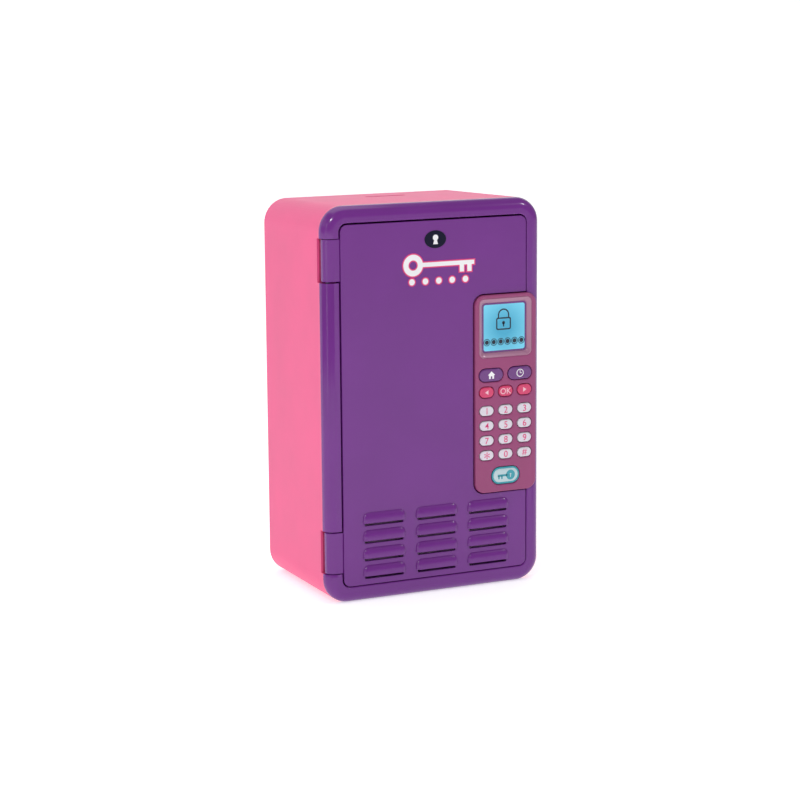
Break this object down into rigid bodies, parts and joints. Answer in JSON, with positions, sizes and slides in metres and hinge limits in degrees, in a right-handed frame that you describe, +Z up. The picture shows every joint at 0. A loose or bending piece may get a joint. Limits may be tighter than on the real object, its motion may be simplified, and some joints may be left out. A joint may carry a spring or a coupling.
{
  "type": "toy safe coin bank",
  "caption": "Upright toy safe money box with a bezel frame, louvred hinged door, keypad console with screen, motor bolt, roof coin slot and battery box.",
  "frame": {"origin": "centre of the base of the whole box, louvres included", "axes": "+Z up, the door faces -Y, +X is to the right seen from the front"},
  "size_m": [0.17, 0.1164, 0.28],
  "materials": {
    "tub_pink": "glossy moulded pink",
    "frame_purple": "glossy moulded purple",
    "door_purple": "glossy moulded purple",
    "console_mauve": "satin mauve",
    "lens_clear": "clear",
    "lcd_blue": "backlit cyan",
    "silicone": "matte",
    "circuit_green": "solder mask",
    "cell_jacket": "printed jacket",
    "badge_dark": "glossy dark blue",
    "wire_jacket": "matte",
    "motor_metal": "plain",
    "gear_nylon": "natural nylon",
    "gear_brass": "machined",
    "dark_plastic": "moulded",
    "hidden_plastic": "moulded",
    "steel": "zinc plated",
    "key_white": "satin white",
    "key_red": "satin red-pink",
    "key_purple": "satin purple",
    "key_pale": "satin pale teal"
  },
  "bodies": {
    "root": {"body_tub": "tub_pink", "front_frame": "frame_purple", "inner_liner": "hidden_plastic", "coin_shelf": "hidden_plastic", "coin_chute": "hidden_plastic", "console_shell": "console_mauve", "console_back": "hidden_plastic", "lcd_lens": "lens_clear", "lcd_panel": "lcd_blue", "keypad_mat": "silicone", "keypad_board": "circuit_green", "main_board": "circuit_green", "battery_box": "dark_plastic", "batteries": "cell_jacket", "battery_contacts": "steel", "battery_springs": "steel", "speaker": "motor_metal", "hinge_pins": "steel", "lock_motor": "motor_metal", "lock_bracket": "dark_plastic", "gear_shaft": "steel", "cabinet_screws": "steel", "console_screws": "steel", "wire_harness": "wire_jacket"},
    "door": {"door_skin": "door_purple", "door_liner": "hidden_plastic", "door_catch": "steel", "door_screws": "steel", "door_badge": "badge_dark"},
    "lock_gear": {"lock_gear": "gear_nylon"},
    "motor_pinion": {"motor_pinion": "gear_brass"},
    "lock_bolt": {"lock_bolt": "gear_nylon"},
    "battery_door": {"battery_door": "tub_pink", "battery_door_screw": "steel"},
    "key_home": {"key_home": "key_purple"},
    "key_clock": {"key_clock": "key_purple"},
    "key_left": {"key_left": "key_red"},
    "key_ok": {"key_ok": "key_red"},
    "key_right": {"key_right": "key_red"},
    "key_1": {"key_1": "key_white"},
    "key_2": {"key_2": "key_white"},
    "key_3": {"key_3": "key_white"},
    "key_4": {"key_4": "key_white"},
    "key_5": {"key_5": "key_white"},
    "key_6": {"key_6": "key_white"},
    "key_7": {"key_7": "key_white"},
    "key_8": {"key_8": "key_white"},
    "key_9": {"key_9": "key_white"},
    "key_star": {"key_star": "key_white"},
    "key_0": {"key_0": "key_white"},
    "key_hash": {"key_hash": "key_white"},
    "key_unlock": {"key_unlock": "key_pale"}
  },
  "joints": [
    {"name": "door_hinge", "type": "hinge", "parent": "root", "child": "door", "pos_m": [-0.08, -0.0508, 0.14], "axis": [0, 0, -1], "range_deg": [0, 115]},
    {"name": "lock_gear_turn", "type": "hinge", "parent": "root", "child": "lock_gear", "pos_m": [0.05, -0.0468, 0.1486], "axis": [0, 1, 0], "range_deg": [0, 78]},
    {"name": "motor_pinion_turn", "type": "hinge", "parent": "root", "child": "motor_pinion", "pos_m": [0.05, -0.0438, 0.1614], "axis": [0, 1, 0], "range_deg": [-240, 0]},
    {"name": "lock_bolt_slide", "type": "slide", "parent": "root", "child": "lock_bolt", "axis": [-1, 0, 0], "range_m": [0, 0.0068]},
    {"name": "battery_door_lift", "type": "slide", "parent": "root", "child": "battery_door", "axis": [0, 1, 0], "range_m": [0, 0.03]},
    {"name": "key_home_press", "type": "slide", "parent": "root", "child": "key_home", "axis": [0, 1, 0], "range_m": [0, 0.0012], "stiffness_N_per_m": 400, "springref_m": -0.0005},
    {"name": "key_clock_press", "type": "slide", "parent": "root", "child": "key_clock", "axis": [0, 1, 0], "range_m": [0, 0.0012], "stiffness_N_per_m": 400, "springref_m": -0.0005},
    {"name": "key_left_press", "type": "slide", "parent": "root", "child": "key_left", "axis": [0, 1, 0], "range_m": [0, 0.0012], "stiffness_N_per_m": 400, "springref_m": -0.0005},
    {"name": "key_ok_press", "type": "slide", "parent": "root", "child": "key_ok", "axis": [0, 1, 0], "range_m": [0, 0.0012], "stiffness_N_per_m": 400, "springref_m": -0.0005},
    {"name": "key_right_press", "type": "slide", "parent": "root", "child": "key_right", "axis": [0, 1, 0], "range_m": [0, 0.0012], "stiffness_N_per_m": 400, "springref_m": -0.0005},
    {"name": "key_1_press", "type": "slide", "parent": "root", "child": "key_1", "axis": [0, 1, 0], "range_m": [0, 0.0012], "stiffness_N_per_m": 400, "springref_m": -0.0005},
    {"name": "key_2_press", "type": "slide", "parent": "root", "child": "key_2", "axis": [0, 1, 0], "range_m": [0, 0.0012], "stiffness_N_per_m": 400, "springref_m": -0.0005},
    {"name": "key_3_press", "type": "slide", "parent": "root", "child": "key_3", "axis": [0, 1, 0], "range_m": [0, 0.0012], "stiffness_N_per_m": 400, "springref_m": -0.0005},
    {"name": "key_4_press", "type": "slide", "parent": "root", "child": "key_4", "axis": [0, 1, 0], "range_m": [0, 0.0012], "stiffness_N_per_m": 400, "springref_m": -0.0005},
    {"name": "key_5_press", "type": "slide", "parent": "root", "child": "key_5", "axis": [0, 1, 0], "range_m": [0, 0.0012], "stiffness_N_per_m": 400, "springref_m": -0.0005},
    {"name": "key_6_press", "type": "slide", "parent": "root", "child": "key_6", "axis": [0, 1, 0], "range_m": [0, 0.0012], "stiffness_N_per_m": 400, "springref_m": -0.0005},
    {"name": "key_7_press", "type": "slide", "parent": "root", "child": "key_7", "axis": [0, 1, 0], "range_m": [0, 0.0012], "stiffness_N_per_m": 400, "springref_m": -0.0005},
    {"name": "key_8_press", "type": "slide", "parent": "root", "child": "key_8", "axis": [0, 1, 0], "range_m": [0, 0.0012], "stiffness_N_per_m": 400, "springref_m": -0.0005},
    {"name": "key_9_press", "type": "slide", "parent": "root", "child": "key_9", "axis": [0, 1, 0], "range_m": [0, 0.0012], "stiffness_N_per_m": 400, "springref_m": -0.0005},
    {"name": "key_star_press", "type": "slide", "parent": "root", "child": "key_star", "axis": [0, 1, 0], "range_m": [0, 0.0012], "stiffness_N_per_m": 400, "springref_m": -0.0005},
    {"name": "key_0_press", "type": "slide", "parent": "root", "child": "key_0", "axis": [0, 1, 0], "range_m": [0, 0.0012], "stiffness_N_per_m": 400, "springref_m": -0.0005},
    {"name": "key_hash_press", "type": "slide", "parent": "root", "child": "key_hash", "axis": [0, 1, 0], "range_m": [0, 0.0012], "stiffness_N_per_m": 400, "springref_m": -0.0005},
    {"name": "key_unlock_press", "type": "slide", "parent": "root", "child": "key_unlock", "axis": [0, 1, 0], "range_m": [0, 0.0012], "stiffness_N_per_m": 400, "springref_m": -0.0005}
  ],
  "couplings": [
    {"joint": "lock_gear_turn", "follows": "lock_bolt_slide", "rad_per_m": 200},
    {"joint": "motor_pinion_turn", "follows": "lock_bolt_slide", "rad_per_m": -600}
  ]
}
